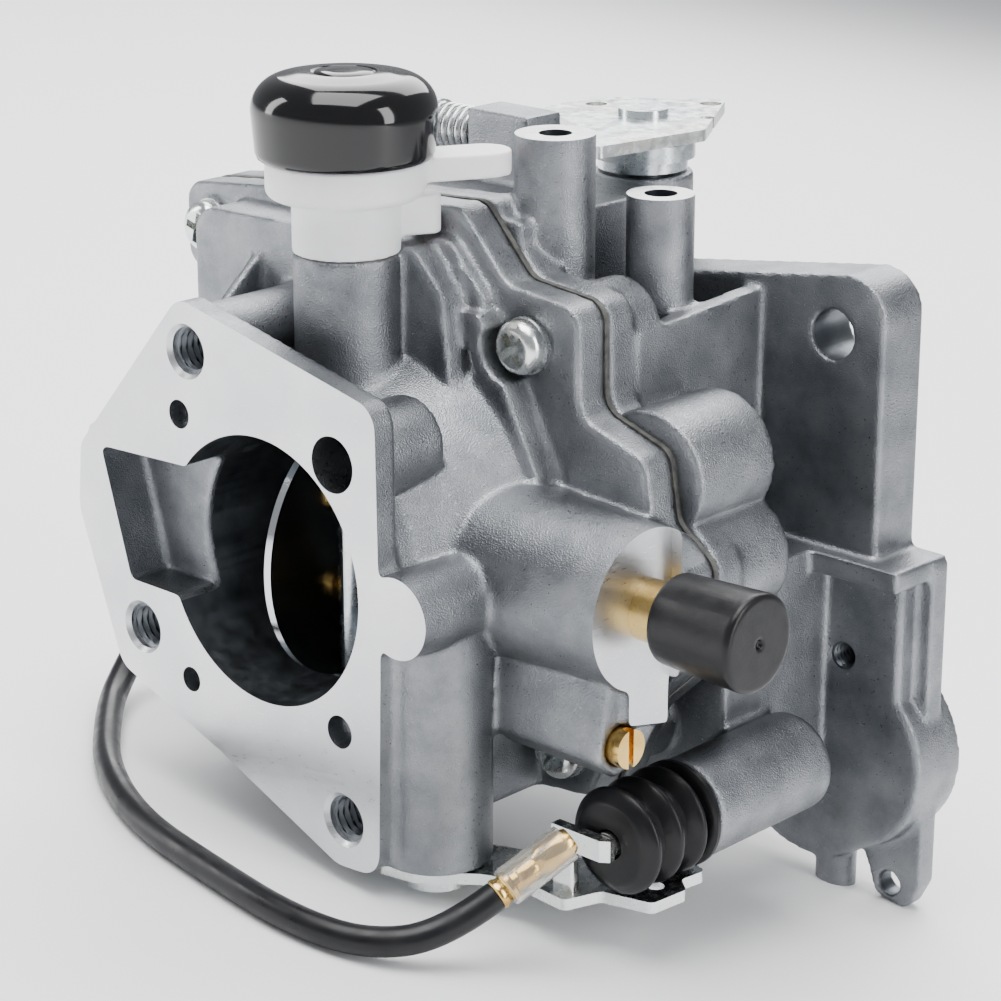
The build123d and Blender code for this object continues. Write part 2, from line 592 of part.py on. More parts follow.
with BuildPart() as pilot_jet:
    rod((-24.0, 56.6, seat_z), (-24.0, 60.0, seat_z), 2.1)
    rod((-24.0, 56.0, seat_z), (-24.0, 61.0, seat_z), 0.4, Mode.SUBTRACT)
    block((-24.3, 56.0, seat_z - 3), (-23.7, 57.2, seat_z + 3), Mode.SUBTRACT)
save(pilot_jet, "pilot_jet")

with BuildPart() as main_nozzle:
    rod((-22.0, 47.0, 0), (-4.0, 47.0, 0), 2.0)
    rod((-23.0, 47.0, 0), (-3.0, 47.0, 0), 1.0, Mode.SUBTRACT)
save(main_nozzle, "main_nozzle")

# ================= accelerator pump =================
lever_top_z = -35.7
pump_lever_t = 1.5
finger_x = 38.8
finger_y = 14.2
rod_nose_y = 15.2

with BuildPart() as pump_lever:
    with BuildSketch(Plane.XY.offset(lever_top_z - pump_lever_t)):
        with BuildLine():
            Polyline((14.5, 8.5), (16.5, 3.6), (22.0, 4.6), (28.3, 9.9), (33.5, 12.2), (40.9, 11.6),
                     (42.6, 16.6), (49.4, 18.4), (49.9, 24.2), (47.6, 26.0), (48.1, 30.0),
                     (45.0, 31.0), (40.0, 24.5), (24.0, 17.5), (15.6, 14.6), close=True)
        make_face()
        fillet(vertices(), 1.0)
        with Locations((pillar_x, pillar_y)):
            Circle(3.05, mode=Mode.SUBTRACT)
        with Locations((46.5, 22.4)):
            Circle(1.1, mode=Mode.SUBTRACT)
        with Locations((finger_x, finger_y)):
            Circle(1.4, mode=Mode.SUBTRACT)
    extrude(amount=pump_lever_t)
save(pump_lever, "pump_lever")

with BuildPart() as pump_lever_screw:
    rod((pillar_x, pillar_y, lever_top_z - pump_lever_t - 0.2), (pillar_x, pillar_y, pillar_foot_z), 3.0)
    rod((pillar_x, pillar_y, pillar_foot_z), (pillar_x, pillar_y, -26.0), 2.0)
    rod((pillar_x, pillar_y, lever_top_z - pump_lever_t - 1.6),
        (pillar_x, pillar_y, lever_top_z - pump_lever_t - 0.2), 4.2)
save(pump_lever_screw, "pump_lever_screw")

with BuildPart() as pump_finger:
    rod((finger_x, finger_y, lever_top_z - pump_lever_t - 0.6), (finger_x, finger_y, lever_top_z), 1.4)
    with BuildSketch(Plane.XY.offset(lever_top_z)):
        with Locations((finger_x, finger_y)):
            RectangleRounded(3.4, 1.6, 0.5)
    extrude(amount=8.6)
    with BuildSketch(Plane.XY.offset(pump_z - 1.4)):
        with BuildLine():
            Polyline((37.1, 15.0), (37.1, 13.4), (45.0, 13.4), (46.1, 14.2), (46.1, 15.0), close=True)
        make_face()
    extrude(amount=2.8)
save(pump_finger, "pump_finger")

with BuildPart() as pump_rod:
    rod((pump_x, rod_nose_y, pump_z), (pump_x, 34.4, pump_z), 1.7)
    rod((pump_x, 31.0, pump_z), (pump_x, 34.4, pump_z), 3.75)
save(pump_rod, "pump_rod")

boot_start_y = 15.7
boot_end_y = 29.2
boot_ribs = 3
boot_rib_pitch = 4.3
boot_lip_t = 1.2
with BuildPart() as pump_boot:
    rod((pump_x, boot_start_y, pump_z), (pump_x, boot_end_y, pump_z), 5.3)
    for rib in range(boot_ribs):
        rib_y = boot_start_y + rib * boot_rib_pitch
        taper((pump_x, rib_y + 0.1, pump_z), (pump_x, rib_y + 1.0, pump_z), 5.2, 6.9)
        rod((pump_x, rib_y + 1.0, pump_z), (pump_x, rib_y + 2.0, pump_z), 6.9)
        taper((pump_x, rib_y + 2.0, pump_z), (pump_x, rib_y + 3.4, pump_z), 6.9, 5.2)
    rod((pump_x, boot_end_y - boot_lip_t, pump_z), (pump_x, boot_end_y, pump_z), 6.9)
    rod((pump_x, boot_start_y + 1.4, pump_z), (pump_x, boot_end_y + 1, pump_z), 3.9, Mode.SUBTRACT)
    rod((pump_x, boot_start_y - 1, pump_z), (pump_x, boot_end_y, pump_z), 1.76, Mode.SUBTRACT)
save(pump_boot, "pump_boot")

# ================= fuel shut-off solenoid and its lead =================
solenoid_end_x = -57.0
gland_x = -49.0
gland_z = -20.0
with BuildPart() as solenoid:
    rod((-39.0, solenoid_y, solenoid_z), (solenoid_end_x, solenoid_y, solenoid_z), 8.0)
    fillet(edges().filter_by(GeomType.CIRCLE).group_by(Axis.X)[0], 1.0)
    with BuildSketch(Plane.YZ.offset(-39.0)):
        with Locations((solenoid_y, solenoid_z)):
            RegularPolygon(8.9, 6)
    extrude(amount=2.5)
    rod((-36.6, solenoid_y, solenoid_z), (-30.0, solenoid_y, solenoid_z), 3.2)
    rod((-50.0, solenoid_y, solenoid_z), (-22.0, solenoid_y, solenoid_z), 1.8, Mode.SUBTRACT)
    rod((gland_x, solenoid_y, gland_z), (gland_x, 40.0, gland_z), 2.6, Mode.SUBTRACT)
save(solenoid, "solenoid")

with BuildPart() as solenoid_plunger:
    rod((-48.0, solenoid_y, solenoid_z), (-26.0, solenoid_y, solenoid_z), 1.74)
    taper((-26.0, solenoid_y, solenoid_z), (-24.6, solenoid_y, solenoid_z), 1.74, 0.8)
save(solenoid_plunger, "solenoid_plunger")

lead_r = 1.875
lead_exit = (gland_x, 39.4, gland_z)
with BuildPart() as lead_gland:
    rod((gland_x, 45.0, gland_z), (gland_x, 39.4, gland_z), 2.6)
save(lead_gland, "lead_gland")

lead_route = [
    lead_exit, (-49.0, 31.5, -20.0), (-49.6, 23.4, -25.4), (-46.2, 13.2, -32.2), (-37.3, 4.4, -32.1),
    (-24.3, -6.6, -31.7), (-8.3, -14.4, -31.9), (8.0, -16.2, -33.0), (22.6, -17.0, -34.2), (32.6, -14.0,
                                                                                            -35.3),
    (37.9, -6.4, -35.0), (40.4, 0.0, -31.2),
]
points = [Vector(*p) for p in lead_route]
runs = [b - a for a, b in zip(points, points[1:])]
turns = [math.radians(a.get_angle(b)) for a, b in zip(runs, runs[1:])]
lead_radii = [0.45 * min(a.length, b.length) / math.tan(turn / 2) for a, b,
              turn in zip(runs, runs[1:], turns)]
print("lead radii", [round(radius, 1) for radius in lead_radii])
lead_path = FilletPolyline(*lead_route, radius=lead_radii)
lead_section = Plane(origin=lead_route[0], z_dir=runs[0]) * Circle(lead_r)
lead = sweep(lead_section, path=lead_path)
print("lead length", round(lead_path.length, 2))
print("lead volume", round(lead.volume, 1), "section times length",
      round(math.pi * lead_r ** 2 * lead_path.length, 1))
lead.label = "lead"
export_step(lead, "parts/lead.step")

lead_end = points[-1]
terminal_way = runs[-1].normalized()


def along(distance):
    """Point on the terminal's axis, measured from the end of the lead."""
    return lead_end + terminal_way * distance


with BuildPart() as lead_terminal:
    rod(lead_end, along(2.4), 2.0)
    rod(along(2.4), along(6.4), 1.5)
    rod(along(6.4), along(11.4), 1.9)
    rod(along(7.5), along(12.0), 1.2, Mode.SUBTRACT)
save(lead_terminal, "lead_terminal")

with BuildPart() as terminal_sleeve:
    rod(along(1.6), along(10.6), 2.45)
    rod(along(1.0), along(11.0), 2.05, Mode.SUBTRACT)
save(terminal_sleeve, "terminal_sleeve")

# ================= body screws =================
with BuildPart() as body_screws:
    for x, z in body_screw_spots:
        rod((x, screw_seat_y - 0.8 - 2.6, z), (x, screw_seat_y - 0.8, z), 3.5)
        rod((x, screw_seat_y - 0.8, z), (x, body_y + 8.0, z), m4_major_r - 0.05)
    fillet(edges().filter_by(GeomType.CIRCLE).group_by(Axis.Y)[0], 1.0)
    for x, z in body_screw_spots:
        with Locations((x, screw_seat_y - 3.4, z)):
            Box(4.4, 3.0, 1.0, mode=Mode.SUBTRACT)
            Box(1.0, 3.0, 4.4, mode=Mode.SUBTRACT)
save(body_screws, "body_screws")

with BuildPart() as lock_washers:
    for x, z in body_screw_spots:
        rod((x, screw_seat_y - 0.8, z), (x, screw_seat_y, z), 3.7)
        rod((x, screw_seat_y - 2, z), (x, screw_seat_y + 1, z), 2.1, Mode.SUBTRACT)
save(lock_washers, "lock_washers")
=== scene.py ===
import bpy
import bmesh
import json
import math
from mathutils import Matrix, Vector


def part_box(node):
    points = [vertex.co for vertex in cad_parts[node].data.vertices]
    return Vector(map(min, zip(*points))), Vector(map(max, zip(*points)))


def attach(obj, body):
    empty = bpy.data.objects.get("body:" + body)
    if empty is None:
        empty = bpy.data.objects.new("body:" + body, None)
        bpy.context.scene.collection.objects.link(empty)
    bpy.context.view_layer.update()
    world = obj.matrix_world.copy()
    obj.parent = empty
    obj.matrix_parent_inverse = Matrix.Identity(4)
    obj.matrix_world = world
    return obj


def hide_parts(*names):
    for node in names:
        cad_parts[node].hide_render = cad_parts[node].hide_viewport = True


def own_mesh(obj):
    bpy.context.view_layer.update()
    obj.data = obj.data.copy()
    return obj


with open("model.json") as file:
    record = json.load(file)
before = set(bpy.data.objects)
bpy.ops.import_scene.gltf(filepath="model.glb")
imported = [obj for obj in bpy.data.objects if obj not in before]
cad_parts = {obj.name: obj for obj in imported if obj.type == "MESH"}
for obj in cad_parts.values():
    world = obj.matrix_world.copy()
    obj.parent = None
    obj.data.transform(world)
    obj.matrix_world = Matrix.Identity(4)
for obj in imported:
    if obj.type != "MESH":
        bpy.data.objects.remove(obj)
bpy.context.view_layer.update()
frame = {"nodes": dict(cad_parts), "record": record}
nodes = frame["nodes"]
record = frame["record"]
mounts = {m["name"]: m for m in record["mounts"]}
body_of_node = {n: b for b, members in record["behaviour"]["bodies"].items() for n in members}
slot_of_node = {s["node"]: s["material_slot"] for s in record["subparts"]}
MM = 0.001


# ---------------------------------------------------------------- camera, floor and light
def look(azimuth, elevation):
    """Rotation of a camera that looks horizontally along +Y at azimuth 0, from above by elevation."""
    a, e = math.radians(azimuth), math.radians(elevation)
    back = Vector((math.sin(a) * math.cos(e), -math.cos(a) * math.cos(e), math.sin(e)))
    right = Vector((math.cos(a), math.sin(a), 0))
    return Matrix((right, back.cross(right), back)).transposed().to_4x4()


def add_camera():
    data = bpy.data.cameras.new("camera")
    data.sensor_width = 36
    data.lens = 107.9
    data.clip_start = 0.01
    camera = bpy.data.objects.new("camera", data)
    camera.matrix_world = Matrix.Translation((0.2643, -0.2359, 0.1268)) @ look(43.4, 18.4)
    bpy.context.scene.collection.objects.link(camera)
    bpy.context.scene.camera = camera


def link_mesh(name, mesh):
    obj = bpy.data.objects.new(name, mesh)
    bpy.context.scene.collection.objects.link(obj)
    return obj


# The object leans on its lower lobe and its foot, so the floor is a tilted plane.
# The pump lever's screw ends 1.7 mm above it.
FLOOR_POINT = Vector((0, 0, -36.9)) * MM
FLOOR_NORMAL = Vector((0.0942, 0.1649, 1)).normalized()


def add_floor(material):
    size = 4.0
    mesh = bpy.data.meshes.new("floor")
    corners = [(-size, -size, 0), (size, -size, 0), (size, size, 0), (-size, size, 0)]
    mesh.from_pydata(corners, [], [(0, 1, 2, 3)])
    floor = link_mesh("floor", mesh)
    turn = FLOOR_NORMAL.to_track_quat("Z", "Y").to_matrix().to_4x4()
    floor.matrix_world = Matrix.Translation(FLOOR_POINT - FLOOR_NORMAL * 0.00005) @ turn
    mesh.materials.append(material)


def add_area_light(name, place, target, size, power, size_y=None):
    data = bpy.data.lights.new(name, "AREA")
    data.energy = power
    data.size = size
    if size_y:
        data.shape = "RECTANGLE"
        data.size_y = size_y
    light = bpy.data.objects.new(name, data)
    aim = Vector(target) - Vector(place)
    light.matrix_world = Matrix.Translation(place) @ aim.to_track_quat("-Z", "Y").to_matrix().to_4x4()
    bpy.context.scene.collection.objects.link(light)


def add_lights():
    centre = (0.005, 0.04, 0.0)
    add_area_light("soft_top", (0.05, -0.05, 0.75), centre, 0.6, 9.5)
    add_area_light("strip_left", (-0.6, -0.35, 0.25), centre, 0.16, 3.4, 0.7)
    add_area_light("strip_right", (0.65, 0.15, 0.22), centre, 0.16, 3.0, 0.6)
    add_area_light("floor_wash", (-0.35, 0.75, 0.55), (-0.1, 0.5, -0.1), 0.9, 16.0)
    world = bpy.data.worlds.new("studio")
    world.use_nodes = True
    background = world.node_tree.nodes["Background"]
    background.inputs["Color"].default_value = (0.93, 0.95, 1.0, 1)
    background.inputs["Strength"].default_value = 0.42
    bpy.context.scene.world = world


# ---------------------------------------------------------------- materials
class Shader:
    """Short calls for a node material in object space, in metres."""

    def __init__(self, name, base, metallic=0.0, roughness=0.5):
        self.material = bpy.data.materials.new(name)
        self.material.use_nodes = True
        self.tree = self.material.node_tree
        self.surface = self.tree.nodes["Principled BSDF"]
        self.surface.inputs["Base Color"].default_value = (*base, 1)
        self.surface.inputs["Metallic"].default_value = metallic
        self.surface.inputs["Roughness"].default_value = roughness
        self.place = self.tree.nodes.new("ShaderNodeTexCoord").outputs["Object"]
        self.last_bump = None

    def link(self, output, target):
        self.tree.links.new(output, target)

    def noise(self, scale, detail=3.0, roughness=0.55, stretch=None):
        node = self.tree.nodes.new("ShaderNodeTexNoise")
        node.inputs["Scale"].default_value = scale
        node.inputs["Detail"].default_value = detail
        node.inputs["Roughness"].default_value = roughness
        source = self.place
        if stretch:
            mapping = self.tree.nodes.new("ShaderNodeMapping")
            mapping.inputs["Scale"].default_value = stretch
            self.link(self.place, mapping.inputs["Vector"])
            source = mapping.outputs["Vector"]
        self.link(source, node.inputs["Vector"])
        return node.outputs["Fac"]

    def cells(self, scale):
        node = self.tree.nodes.new("ShaderNodeTexVoronoi")
        node.inputs["Scale"].default_value = scale
        self.link(self.place, node.inputs["Vector"])
        return node.outputs["Distance"]

    def ramp(self, source, stops):
        node = self.tree.nodes.new("ShaderNodeValToRGB")
        first, last = node.color_ramp.elements
        first.position, first.color = stops[0][0], (*stops[0][1], 1)
        last.position, last.color = stops[-1][0], (*stops[-1][1], 1)
        for position, colour in stops[1:-1]:
            node.color_ramp.elements.new(position).color = (*colour, 1)
        self.link(source, node.inputs["Fac"])
        return node.outputs["Color"]

    def colour(self, source, dark, light, low=0.3, high=0.7):
        self.link(self.ramp(source, [(low, dark), (high, light)]), self.surface.inputs["Base Color"])

    def rough(self, source, low, high):
        node = self.tree.nodes.new("ShaderNodeMapRange")
        node.inputs["From Min"].default_value = 0.3
        node.inputs["From Max"].default_value = 0.7
        node.inputs["To Min"].default_value = low
        node.inputs["To Max"].default_value = high
        self.link(source, node.inputs["Value"])
        self.link(node.outputs["Result"], self.surface.inputs["Roughness"])

    def bump(self, source, distance, strength=1.0):
        node = self.tree.nodes.new("ShaderNodeBump")
        node.inputs["Distance"].default_value = distance
        node.inputs["Strength"].default_value = strength
        self.link(source, node.inputs["Height"])
        if self.last_bump:
            self.link(self.last_bump, node.inputs["Normal"])
        self.last_bump = node.outputs["Normal"]
        self.link(self.last_bump, self.surface.inputs["Normal"])


def cast_aluminium():
    """Shot-blasted die casting: fine bright peening over a soft uneven grey."""
    s = Shader("cast_aluminium", (0.25, 0.26, 0.275), 1.0, 0.38)
    s.colour(s.noise(160, 4), (0.17, 0.18, 0.195), (0.30, 0.31, 0.325))
    s.rough(s.noise(2400, 2), 0.26, 0.46)
    s.bump(s.cells(4600), 0.00006, 0.9)
    s.bump(s.noise(9000, 2), 0.00003, 0.8)
    return s.material


def machined_aluminium():
    """Milled face: bright, with fine scratches one way."""
    s = Shader("machined_aluminium", (0.66, 0.67, 0.68), 1.0, 0.34)
    s.colour(s.noise(70, 2), (0.60, 0.61, 0.625), (0.72, 0.725, 0.735))
    s.rough(s.noise(600, 3, stretch=(1, 1, 8)), 0.26, 0.42)
    s.bump(s.noise(900, 4, stretch=(1, 1, 14)), 0.000015, 0.5)
    return s.material


def bored_aluminium():
    """Turned bore with fine rings; its dark base colour is painted shade for the inside of holes and bores.
    """
    s = Shader("bored_aluminium", (0.15, 0.165, 0.18), 1.0, 0.40)
    s.colour(s.noise(120, 3), (0.09, 0.10, 0.115), (0.19, 0.205, 0.22))
    s.rough(s.noise(500, 2), 0.34, 0.52)
    s.bump(s.noise(900, 3, stretch=(1, 6, 1)), 0.00002, 0.6)
    return s.material


def zinc_plate():
    """Bright zinc with a faint blue and yellow cast."""
    s = Shader("zinc_plate", (0.72, 0.76, 0.78), 1.0, 0.25)
    tints = [(0.25, (0.62, 0.69, 0.74)), (0.5, (0.76, 0.79, 0.79)), (0.75, (0.80, 0.79, 0.70))]
    s.link(s.ramp(s.noise(110, 3), tints), s.surface.inputs["Base Color"])
    s.rough(s.noise(700, 3), 0.16, 0.34)
    s.bump(s.noise(1800, 3), 0.00002, 0.5)
    return s.material


def bright_steel():
    s = Shader("bright_steel", (0.62, 0.64, 0.66), 1.0, 0.12)
    s.colour(s.noise(90, 2), (0.56, 0.58, 0.60), (0.70, 0.72, 0.74))
    s.rough(s.noise(420, 3, stretch=(1, 1, 10)), 0.07, 0.18)
    s.bump(s.noise(1200, 2, stretch=(1, 1, 16)), 0.000008, 0.4)
    return s.material


def spring_steel():
    s = Shader("spring_steel", (0.58, 0.59, 0.60), 1.0, 0.28)
    s.colour(s.noise(400, 2), (0.50, 0.51, 0.52), (0.68, 0.69, 0.69))
    s.rough(s.noise(1500, 2), 0.2, 0.36)
    s.bump(s.noise(3000, 2), 0.00001, 0.5)
    return s.material


def brass():
    s = Shader("brass", (0.62, 0.40, 0.12), 1.0, 0.2)
    s.colour(s.noise(180, 3), (0.48, 0.28, 0.07), (0.72, 0.50, 0.18))
    s.rough(s.noise(700, 3, stretch=(8, 1, 1)), 0.12, 0.3)
    s.bump(s.noise(1600, 2, stretch=(12, 1, 1)), 0.000012, 0.5)
    return s.material


def black_rubber():
    s = Shader("black_rubber", (0.004, 0.004, 0.005), 0.0, 0.36)
    s.surface.inputs["Specular IOR Level"].default_value = 0.3
    s.colour(s.noise(200, 3), (0.003, 0.003, 0.004), (0.007, 0.007, 0.008))
    s.rough(s.noise(500, 3), 0.28, 0.44)
    s.bump(s.noise(2600, 3), 0.00003, 0.5)
    return s.material


def black_gloss():
    s = Shader("black_gloss", (0.002, 0.002, 0.0025), 0.0, 0.09)
    s.colour(s.noise(60, 2), (0.0015, 0.0015, 0.002), (0.003, 0.003, 0.0035))
    s.rough(s.noise(300, 3), 0.06, 0.13)
    s.bump(s.noise(90, 2), 0.00002, 0.4)
    return s.material


def white_nylon():
    s = Shader("white_nylon", (0.86, 0.865, 0.87), 0.0, 0.4)
    s.surface.inputs["Subsurface Weight"].default_value = 0.35
    s.surface.inputs["Subsurface Scale"].default_value = 0.0012
    s.colour(s.noise(90, 3), (0.83, 0.835, 0.84), (0.90, 0.90, 0.90))
    s.rough(s.noise(500, 2), 0.34, 0.48)
    s.bump(s.noise(1500, 2), 0.00002, 0.4)
    return s.material


def fibre_gasket():
    s = Shader("fibre_gasket", (0.06, 0.06, 0.06), 0.0, 0.85)
    s.colour(s.noise(900, 4), (0.035, 0.035, 0.035), (0.11, 0.11, 0.10))
    s.bump(s.noise(2500, 3), 0.00006, 0.8)
    return s.material


def float_foam():
    s = Shader("float_foam", (0.05, 0.05, 0.05), 0.0, 0.7)
    s.colour(s.noise(500, 3), (0.03, 0.03, 0.03), (0.08, 0.08, 0.08))
    s.bump(s.cells(1400), 0.0001, 0.7)
    return s.material


def lead_jacket():
    s = Shader("lead_jacket", (0.004, 0.004, 0.005), 0.0, 0.36)
    s.surface.inputs["Specular IOR Level"].default_value = 0.35
    s.colour(s.noise(120, 2), (0.003, 0.003, 0.004), (0.007, 0.007, 0.009))
    s.rough(s.noise(350, 3), 0.27, 0.46)
    s.bump(s.noise(600, 3), 0.00004, 0.5)
    return s.material


def clear_vinyl():
    s = Shader("clear_vinyl", (0.97, 0.95, 0.88), 0.0, 0.12)
    s.surface.inputs["Transmission Weight"].default_value = 0.93
    s.surface.inputs["IOR"].default_value = 1.42
    s.rough(s.noise(500, 2), 0.06, 0.2)
    s.bump(s.noise(500, 2), 0.00005, 0.5)
    return s.material


def pale_floor():
    s = Shader("pale_floor", (0.95, 0.95, 0.95), 0.0, 0.6)
    s.colour(s.noise(3, 2), (0.94, 0.945, 0.95), (0.96, 0.962, 0.965))
    return s.material


CAST = cast_aluminium()
MACHINED = machined_aluminium()
# The bore material's dark colour is painted shade inside holes and bores.
BORE_PAINTED_SHADE = bored_aluminium()
FINISHES = {
    "cast_aluminium": CAST, "gasket": fibre_gasket(), "zinc_steel": zinc_plate(),
    "bright_steel": bright_steel(), "spring_steel": spring_steel(), "brass": brass(),
    "black_rubber": black_rubber(), "black_gloss": black_gloss(), "white_plastic": white_nylon(),
    "float_foam": float_foam(), "lead_jacket": lead_jacket(), "clear_sleeve": clear_vinyl(),
}


# ---------------------------------------------------------------- mesh helpers
def finish_piece(piece, node, stands_for=True):
    """Ride on the node's body and, unless told not to, stand for it."""
    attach(piece, body_of_node[node])
    if stands_for:
        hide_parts(node)
    return piece


def apply_modifier(obj, kind, **settings):
    modifier = obj.modifiers.new(kind, kind)
    for key, value in settings.items():
        setattr(modifier, key, value)
    bpy.context.view_layer.update()
    depsgraph = bpy.context.evaluated_depsgraph_get()
    mesh = bpy.data.meshes.new_from_object(obj.evaluated_get(depsgraph), depsgraph=depsgraph)
    obj.modifiers.clear()
    old = obj.data
    obj.data = mesh
    bpy.data.meshes.remove(old)


def axes_for(direction):
    """Two directions across a given one."""
    way = Vector(direction).normalized()
    side = way.orthogonal().normalized()
    return way, side, way.cross(side)


def lathe(name, start, direction, profile, segments=96):
    """Closed solid of revolution. profile is (distance along, radius) points in metres."""
    way, side, third = axes_for(direction)
    bm = bmesh.new()
    rings = []
    for along, radius in profile:
        centre = Vector(start) + way * along
        if radius < 1e-7:
            rings.append([bm.verts.new(centre)])
            continue
        ring = []
        for k in range(segments):
            angle = 2 * math.pi * k / segments
            ring.append(bm.verts.new(centre + (side * math.cos(angle) + third * math.sin(angle)) * radius))
        rings.append(ring)
    for low, high in zip(rings, rings[1:]):
        for k in range(segments):
            n = (k + 1) % segments
            corners = [low[k % len(low)], low[n % len(low)], high[n % len(high)], high[k % len(high)]]
            corners = list(dict.fromkeys(corners))
            if len(corners) > 2:
                bm.faces.new(corners)
    for ring, flip in ((rings[0], True), (rings[-1], False)):
        if len(ring) > 1:
            bm.faces.new(ring[::-1] if flip else ring)
    bmesh.ops.recalc_face_normals(bm, faces=bm.faces)
    mesh = bpy.data.meshes.new(name)
    bm.to_mesh(mesh)
    bm.free()
    return link_mesh(name, mesh)


def shade(obj, angle=35):
    obj.data.shade_smooth()
    obj.data.set_sharp_from_angle(angle=math.radians(angle))


def set_material(obj, *materials):
    obj.data.materials.clear()
    for material in materials:
        obj.data.materials.append(material)


def cut(obj, tools):
    """Machine an object with closed solids. Cut faces take each tool's own material."""
    for tool in tools:
        apply_modifier(obj, "BOOLEAN", operation="DIFFERENCE", solver="MANIFOLD", object=tool,
                       material_mode="TRANSFER")
        mesh = tool.data
        bpy.data.objects.remove(tool)
        bpy.data.meshes.remove(mesh)


def cylinder_tool(start, direction, length, radius, material, segments=96):
    tool = lathe("tool", start, direction, [(0, radius), (length, radius)], segments)
    set_material(tool, material)
    return tool


def box_tool(low, high, material):
    bm = bmesh.new()
    bmesh.ops.create_cube(bm, size=1)
    low, high = Vector(low), Vector(high)
    for vert in bm.verts:
        vert.co = Vector(((vert.co[i] + 0.5) * (high[i] - low[i]) + low[i]) for i in range(3))
    mesh = bpy.data.meshes.new("tool")
    bm.to_mesh(mesh)
    bm.free()
    tool = link_mesh("tool", mesh)
    set_material(tool, material)
    return tool


def softened(name, node, voxel, passes, push=()):
    """The node's shape with cast or moulded edges. push moves vertices on a plane outward first,
    as (axis, value, shift), so that a later cut leaves that face's edges crisp."""
    mesh = nodes[node].data.copy()
    for axis, value, shift in push:
        for vert in mesh.vertices:
            if abs(vert.co[axis] - value) < 2e-5:
                vert.co[axis] += shift
    piece = link_mesh(name, mesh)
    apply_modifier(piece, "REMESH", mode="VOXEL", voxel_size=voxel)
    apply_modifier(piece, "SMOOTH", factor=0.5, iterations=passes)
    return piece


# ---------------------------------------------------------------- castings
VOXEL = 0.42 * MM
FACE_SHIFT = 1.6 * MM
FAR = 90 * MM                       # past every side of the object
M6_MAJOR = 3.0 * MM
M6_PITCH = 1.0 * MM
THREAD_MOUTH_Y = 1.2 * MM
AIR_CLEANER_THREADS = ("air_cleaner_thread_top", "air_cleaner_thread_left", "air_cleaner_thread_lower")
TAP_PROFILE = [(0, 3.9 * MM), (1.0 * MM, 3.6 * MM), (1.6 * MM, 3.05 * MM), (12.4 * MM, 3.05 * MM)]
CHOKE_BORE_R = 17.5 * MM
CHOKE_SHAFT_HOLE_R = 2.54 * MM
JOINT_Y = 32.0 * MM
FUEL_FACE_X = 45.0 * MM
MAIN_BORE_R = 15.0 * MM
REGISTER_R = 16.0 * MM
REGISTER_Y = 78.0 * MM
BRACKET_BOSS_TOPS = {"cable_bracket_thread_tall": 51.2 * MM, "cable_bracket_thread_short": 43.5 * MM}
BRACKET_BOSS_REACH = 5.9 * MM
BRACKET_HOLE_R = 2.15 * MM
LOBE_HOLE_BACKS = {"upper_lobe_hole": 12 * MM, "lower_lobe_hole": 8 * MM}
DUCT_HOLE = Vector((43.0, 63.0, -17.9)) * MM
DUCT_HOLE_MINOR, DUCT_HOLE_MAJOR, DUCT_HOLE_PITCH = 1.6 * MM, 1.9 * MM, 0.7 * MM
PUMP_BORE = Vector((44.5, 28.5, -28.5)) * MM
PUMP_BORE_LENGTH = 12.5 * MM
PUMP_BORE_R = 3.8 * MM


def thread_liner(name, face, axis, length, minor, major, pitch, node):
    """Helical thread inside a tapped hole: a tube whose inner wall carries the ridge."""
    way, side, third = axes_for(axis)
    start = Vector(face) - way * length
    around, rows = 48, int(length / pitch * 8)
    bm = bmesh.new()
    grid = []
    for row in range(rows + 1):
        ring = []
        for k in range(around):
            angle = 2 * math.pi * k / around
            z = length * row / rows
            turn = (z / pitch - k / around) % 1.0
            radius = minor + (major - minor) * abs(2 * turn - 1)
            across = side * math.cos(angle) + third * math.sin(angle)
            ring.append(bm.verts.new(start + way * z + across * radius))
        grid.append(ring)
    shell = []
    for z in (0, length):
        ring = []
        for k in range(around):
            angle = 2 * math.pi * k / around
            across = side * math.cos(angle) + third * math.sin(angle)
            ring.append(bm.verts.new(start + way * z + across * (major + 0.15 * MM)))
        shell.append(ring)
    loops = grid + [shell[1], shell[0], grid[0]]
    for low_ring, high_ring in zip(loops, loops[1:]):
        for k in range(around):
            n = (k + 1) % around
            bm.faces.new((low_ring[k], low_ring[n], high_ring[n], high_ring[k]))
    bmesh.ops.recalc_face_normals(bm, faces=bm.faces)
    mesh = bpy.data.meshes.new(name)
    bm.to_mesh(mesh)
    bm.free()
    liner = link_mesh(name, mesh)
    # The liner takes the dark bore colour, painted shade inside the tapped hole.
    set_material(liner, BORE_PAINTED_SHADE)
    shade(liner, 50)
    return finish_piece(liner, node, stands_for=False)


